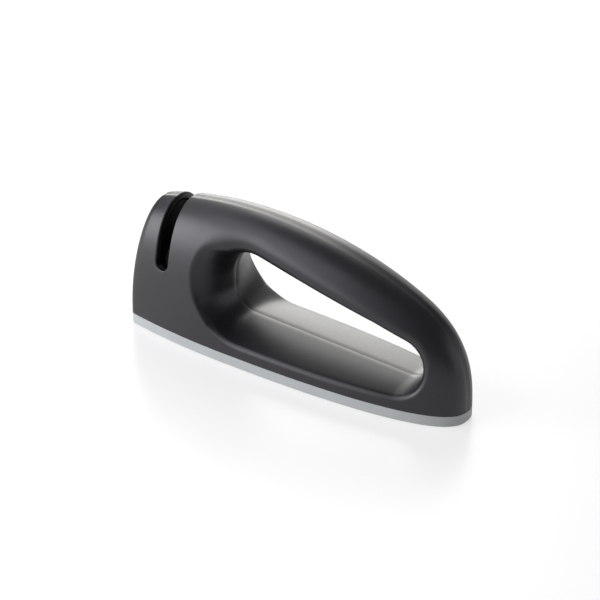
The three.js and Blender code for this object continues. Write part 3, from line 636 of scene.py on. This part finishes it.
def new_node(tree, kind, **values):
    """Node of a kind with some of its inputs set, each named with underscores for spaces."""
    node = tree.nodes.new(kind)
    for name, value in values.items():
        node.inputs[name.replace("_", " ")].default_value = value
    return node


def grain_group():
    """Moulded grain shared by the plastics and the rubber: a fine pebbled texture for the bump, and
    slow patches that shift the colour and the gloss a little."""
    group = bpy.data.node_groups.new("moulded_grain", "ShaderNodeTree")
    for name, kind in (
        ("Pebbles per metre", "NodeSocketFloat"), ("Patches per metre", "NodeSocketFloat"),
        ("Dark", "NodeSocketColor"), ("Light", "NodeSocketColor"),
        ("Gloss low", "NodeSocketFloat"), ("Gloss high", "NodeSocketFloat"),
    ):
        group.interface.new_socket(name, in_out="INPUT", socket_type=kind)
    for name, kind in (
        ("Color", "NodeSocketColor"), ("Roughness", "NodeSocketFloat"),
        ("Height", "NodeSocketFloat"),
    ):
        group.interface.new_socket(name, in_out="OUTPUT", socket_type=kind)
    given = group.nodes.new("NodeGroupInput")
    result = group.nodes.new("NodeGroupOutput")
    place = group.nodes.new("ShaderNodeTexCoord")
    pebbles = new_node(group, "ShaderNodeTexNoise", Detail=2.0, Roughness=0.6)
    patches = new_node(group, "ShaderNodeTexNoise", Detail=3.0, Roughness=0.5)
    tint = group.nodes.new("ShaderNodeMix")
    tint.data_type = "RGBA"
    gloss = new_node(group, "ShaderNodeMapRange", From_Min=0.3, From_Max=0.7)
    link = group.links.new
    link(place.outputs["Object"], pebbles.inputs["Vector"])
    link(place.outputs["Object"], patches.inputs["Vector"])
    link(given.outputs["Pebbles per metre"], pebbles.inputs["Scale"])
    link(given.outputs["Patches per metre"], patches.inputs["Scale"])
    link(patches.outputs["Fac"], tint.inputs["Factor"])
    link(given.outputs["Dark"], tint.inputs["A"])
    link(given.outputs["Light"], tint.inputs["B"])
    link(pebbles.outputs["Fac"], gloss.inputs["Value"])
    link(given.outputs["Gloss low"], gloss.inputs["To Min"])
    link(given.outputs["Gloss high"], gloss.inputs["To Max"])
    link(tint.outputs["Result"], result.inputs["Color"])
    link(gloss.outputs["Result"], result.inputs["Roughness"])
    link(pebbles.outputs["Fac"], result.inputs["Height"])
    return group


MOULDED_GRAIN = grain_group()


def moulded_material(name, pebbles, patches, dark, light, gloss, bump, specular):
    """Material with the moulded grain in its colour, roughness and bump."""
    material = bpy.data.materials.new(name)
    material.use_nodes = True
    tree = material.node_tree
    shader = tree.nodes["Principled BSDF"]
    grain = tree.nodes.new("ShaderNodeGroup")
    grain.node_tree = MOULDED_GRAIN
    grain.inputs["Pebbles per metre"].default_value = pebbles
    grain.inputs["Patches per metre"].default_value = patches
    grain.inputs["Dark"].default_value = (*dark, 1.0)
    grain.inputs["Light"].default_value = (*light, 1.0)
    grain.inputs["Gloss low"].default_value = gloss[0]
    grain.inputs["Gloss high"].default_value = gloss[1]
    shader.inputs["Specular IOR Level"].default_value = specular
    relief = new_node(tree, "ShaderNodeBump", Strength=bump[0], Distance=bump[1])
    tree.links.new(grain.outputs["Color"], shader.inputs["Base Color"])
    tree.links.new(grain.outputs["Roughness"], shader.inputs["Roughness"])
    tree.links.new(grain.outputs["Height"], relief.inputs["Height"])
    tree.links.new(relief.outputs["Normal"], shader.inputs["Normal"])
    return material


satin_charcoal = moulded_material(
    "satin_charcoal_plastic", 1900.0, 90.0, (0.0055, 0.0058, 0.0088), (0.0075, 0.0078, 0.0108),
    (0.33, 0.43), (0.2, 0.00006), 0.5,
)
SHELL_SHARP_ANGLE = 35.0
left_grids = shell_grids()
right_grids = [grid * NEAR_TO_FAR for grid in left_grids]
for name, grids, node in (
    ("left_half_shell", left_grids, "left_shell"), ("right_half_shell", right_grids, "right_shell"),
):
    piece = put_mesh(name, grids, SHELL_SHARP_ANGLE)
    piece.data.materials.append(satin_charcoal)
    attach(piece, "housing")
    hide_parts(node)

# Sole: a slab of light grey rubber glued on under the plate, flush with the shells all round.
# It is moulded with a rounded lower edge and a fine upper edge, and it hides the screws.
SOLE_ROUND_LOW = 0.5
SOLE_ROUND_HIGH = 0.15
SOLE_TOP = BASE_Z
SOLE_SHARP_ANGLE = 40.0
CORNER_POINTS = 40
FLANK_POINTS = 40
SWEEP_POINTS = 90
SOLE_STRIPS = 8


def plan_side(inset):
    """Near side of the base outline from nose to tail: x and half width, dense at the corner and
    the tail."""
    front = FRONT_X + inset
    tail = TAIL_X - inset
    turn = np.linspace(0, np.pi / 2, CORNER_POINTS)
    corner = front + CORNER_DEPTH * (1 - np.cos(turn) ** (2 / CORNER_POWER))
    flank = np.linspace(front + CORNER_DEPTH, WIDEST_X, FLANK_POINTS)[1:]
    turn = np.linspace(0, np.pi / 2, SWEEP_POINTS)[1:]
    sweep = WIDEST_X + (tail - WIDEST_X) * np.sin(turn) ** (2 / TAIL_PLAN_POWER)
    x = np.concatenate([corner, flank, sweep])
    return x, half_width(x, inset)


def sole_grids():
    """Base outline carried up a profile of two quarter-rounds with a straight side between them,
    closed by a lower and an upper face."""
    turn = np.linspace(0, np.pi / 2, LIP_POINTS)
    rise = 1 - np.cos(turn)
    narrow = 1 - np.sin(turn)
    low = np.stack([SOLE_ROUND_LOW * narrow, SOLE_ROUND_LOW * rise], -1)
    high = np.stack([SOLE_ROUND_HIGH * rise, SOLE_TOP - SOLE_ROUND_HIGH * narrow], -1)
    rings = []
    for inset, z in np.concatenate([low, high]):
        x, width = plan_side(inset)
        rings.append(np.stack([x, -width, np.full(x.shape, z)], -1))
    near = np.stack(rings)
    far = near * NEAR_TO_FAR
    across = np.linspace(0, 1, SOLE_STRIPS + 1)[:, None, None]
    lower = near[0] + (far[0] - near[0]) * across
    upper = near[-1] + (far[-1] - near[-1]) * across
    return [near, far, lower, upper]


pale_rubber = moulded_material(
    "pale_grey_rubber", 3200.0, 60.0, (0.39, 0.403, 0.4), (0.44, 0.453, 0.45), (0.5, 0.62),
    (0.2, 0.00006), 0.3,
)
sole = put_mesh("rubber_sole", sole_grids(), SOLE_SHARP_ANGLE)
sole.data.materials.append(pale_rubber)
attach(sole, "housing")
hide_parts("sole")

# Sharpening wheels: two ceramic discs, pressed and fired, that turn freely on the axle. Their
# ground flanks face each other and form the V that the edge is drawn through.
AXLE_Z = 24.5
WHEEL_BORE = 1.6
WHEEL_RADIUS = 10.0
WHEEL_GROOVE_RADIUS = 6.0
WHEEL_FLANK_ANGLE = math.radians(18.0)
WHEEL_INNER = 0.1
WHEEL_OUTER = 5.9
WHEEL_CHAMFER = 0.8
WHEEL_SOFTENING = 0.25
WHEEL_SHARP_ANGLE = 35.0
WHEEL_STEPS = 96
CURVE_POINTS = 5


def softened(profile, radius):
    """Closed profile with each corner replaced by a quadratic curve between two points set back
    along its sides, pulled towards the corner."""
    before = np.roll(profile, 1, 0)
    after = np.roll(profile, -1, 0)
    first = profile + unit(before - profile) * radius
    last = profile + unit(after - profile) * radius
    t = np.linspace(0, 1, CURVE_POINTS)[None, :, None]
    ends = (1 - t) ** 2 * first[:, None] + t ** 2 * last[:, None]
    return (ends + 2 * t * (1 - t) * profile[:, None]).reshape(-1, 2)


def wheel_grid(side):
    """Closed profile of place along the axle and radius, turned round the axle."""
    flank = (WHEEL_RADIUS - WHEEL_GROOVE_RADIUS) * math.tan(WHEEL_FLANK_ANGLE)
    profile = np.array([
        [WHEEL_INNER, WHEEL_BORE], [WHEEL_INNER, WHEEL_GROOVE_RADIUS],
        [WHEEL_INNER + flank, WHEEL_RADIUS], [WHEEL_OUTER - WHEEL_CHAMFER, WHEEL_RADIUS],
        [WHEEL_OUTER, WHEEL_RADIUS - WHEEL_CHAMFER], [WHEEL_OUTER, WHEEL_BORE],
    ])
    line = softened(profile, WHEEL_SOFTENING)
    along, radius = np.concatenate([line, line[:1]]).T
    turn = np.linspace(0, 2 * np.pi, WHEEL_STEPS + 1)[:, None]
    station = np.broadcast_to(SLOT_X + side * along, (WHEEL_STEPS + 1, len(along)))
    return np.stack([station, radius * np.cos(turn), AXLE_Z + radius * np.sin(turn)], -1)


def textured_material(name, shade, relief, dark, light, gloss, bump, metallic):
    """Material in which one texture grades the colour and the roughness and another makes the
    bump. Each texture is its node's kind, its output and its inputs."""
    material = bpy.data.materials.new(name)
    material.use_nodes = True
    tree = material.node_tree
    shader = tree.nodes["Principled BSDF"]
    shader.inputs["Metallic"].default_value = metallic
    place = tree.nodes.new("ShaderNodeTexCoord")
    values = []
    for kind, output, inputs in (shade, relief):
        texture = new_node(tree, kind, **inputs)
        tree.links.new(place.outputs["Object"], texture.inputs["Vector"])
        values.append(texture.outputs[output])
    ramp = tree.nodes.new("ShaderNodeValToRGB")
    ramp.color_ramp.elements[0].color = (*dark, 1.0)
    ramp.color_ramp.elements[1].color = (*light, 1.0)
    rough = new_node(tree, "ShaderNodeMapRange", To_Min=gloss[0], To_Max=gloss[1])
    dents = new_node(tree, "ShaderNodeBump", Strength=bump[0], Distance=bump[1])
    tree.links.new(values[0], ramp.inputs["Fac"])
    tree.links.new(ramp.outputs["Color"], shader.inputs["Base Color"])
    tree.links.new(values[0], rough.inputs["Value"])
    tree.links.new(rough.outputs["Result"], shader.inputs["Roughness"])
    tree.links.new(values[1], dents.inputs["Height"])
    tree.links.new(dents.outputs["Normal"], shader.inputs["Normal"])
    return material


grit = ("ShaderNodeTexVoronoi", "Distance", {"Scale": 4200.0})
fired_ceramic = textured_material(
    "fired_ceramic", grit, grit, (0.045, 0.046, 0.05), (0.11, 0.11, 0.115), (0.6, 0.85),
    (0.35, 0.0001), 0.0,
)
for end, side in (("front", -1.0), ("rear", 1.0)):
    wheel = put_mesh(end + "_ceramic_wheel", [wheel_grid(side)], WHEEL_SHARP_ANGLE)
    wheel.data.materials.append(fired_ceramic)
    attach(wheel, end + "_wheel_body")
    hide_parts(end + "_wheel")

# Inner mouldings: the guide plates beside the slot, the roller cradle and the bottom plate, in a
# plastic darker and less glossy than the shells', which paints the shade deep in the slot. The
# guides drop into the shells, and screws from below hold the other two.
painted_shade_plastic = moulded_material(
    "inner_plastic_painted_shade", 1900.0, 120.0, (0.002, 0.002, 0.0022), (0.004, 0.004, 0.0043),
    (0.5, 0.65), (0.15, 0.00006), 0.15,
)


def paint(names, material):
    """Gives each named CAD node a material in place of its own."""
    for name in names:
        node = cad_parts[name]
        node.data.materials.clear()
        node.data.materials.append(material)


# Painted shade: these inner parts get the darker plastic so that the slot reads as deep shade.
paint(("front_guide", "rear_guide", "roller_cradle", "bottom_plate"), painted_shade_plastic)

# Washers: thin rings of natural nylon, punched from sheet, that slide on the axle between the
# wheels and the cradle's arms.
natural_nylon = moulded_material(
    "natural_nylon", 2400.0, 300.0, (0.62, 0.60, 0.55), (0.70, 0.68, 0.62), (0.42, 0.52),
    (0.1, 0.00004), 0.4,
)
paint(("front_washer", "rear_washer"), natural_nylon)

# Steel parts: the ground axle, its two spring clips and the zinc-plated screws under the plate.
# Fine turning lines run round them, and the plating is a little cloudy.
cloud = ("ShaderNodeTexNoise", "Fac", {"Scale": 700.0, "Detail": 4.0})
turning_lines = ("ShaderNodeTexWave", "Fac", {"Scale": 1500.0, "Distortion": 0.6})
plated_steel = textured_material(
    "plated_steel", cloud, turning_lines, (0.46, 0.47, 0.49), (0.62, 0.63, 0.65), (0.22, 0.4),
    (0.08, 0.00003), 1.0,
)
paint(("axle", "front_clip", "rear_clip"), plated_steel)
paint((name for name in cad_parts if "screw" in name), plated_steel)
